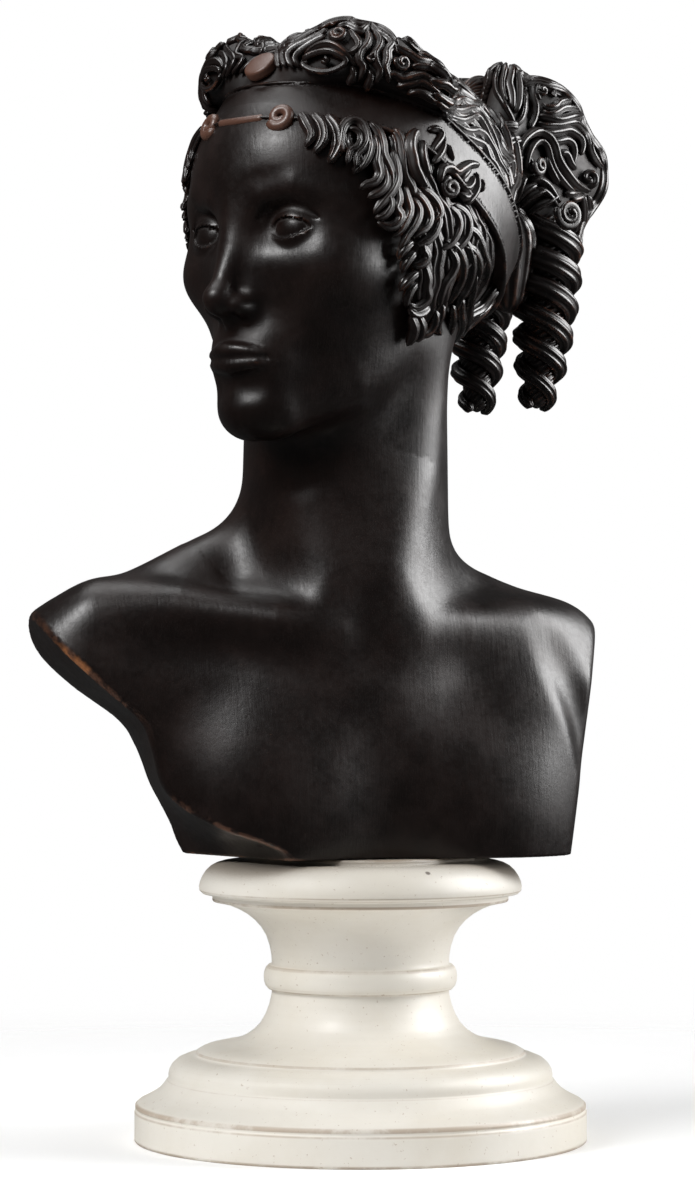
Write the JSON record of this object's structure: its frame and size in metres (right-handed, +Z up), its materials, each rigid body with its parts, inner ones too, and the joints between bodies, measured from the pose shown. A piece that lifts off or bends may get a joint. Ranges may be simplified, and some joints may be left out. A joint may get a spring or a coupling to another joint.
{
  "type": "portrait bust on turned socle",
  "caption": "Dark carved wood bust of a goddess with filleted curled hair, head turned, on a round turned off-white socle.",
  "frame": {"origin": "centre of the socle's round underside", "axes": "+Z up; the chest faces -Y and the head is turned towards -X"},
  "size_m": [0.3578, 0.253, 0.6263],
  "materials": {
    "dark_wood": "satin dark brown-black patina, worn reddish on the high spots",
    "painted_wood": "off-white paint with brown glaze in the grooves"
  },
  "bodies": {
    "root": {"goddess_bust": "dark_wood", "socle": "painted_wood"}
  },
  "joints": []
}
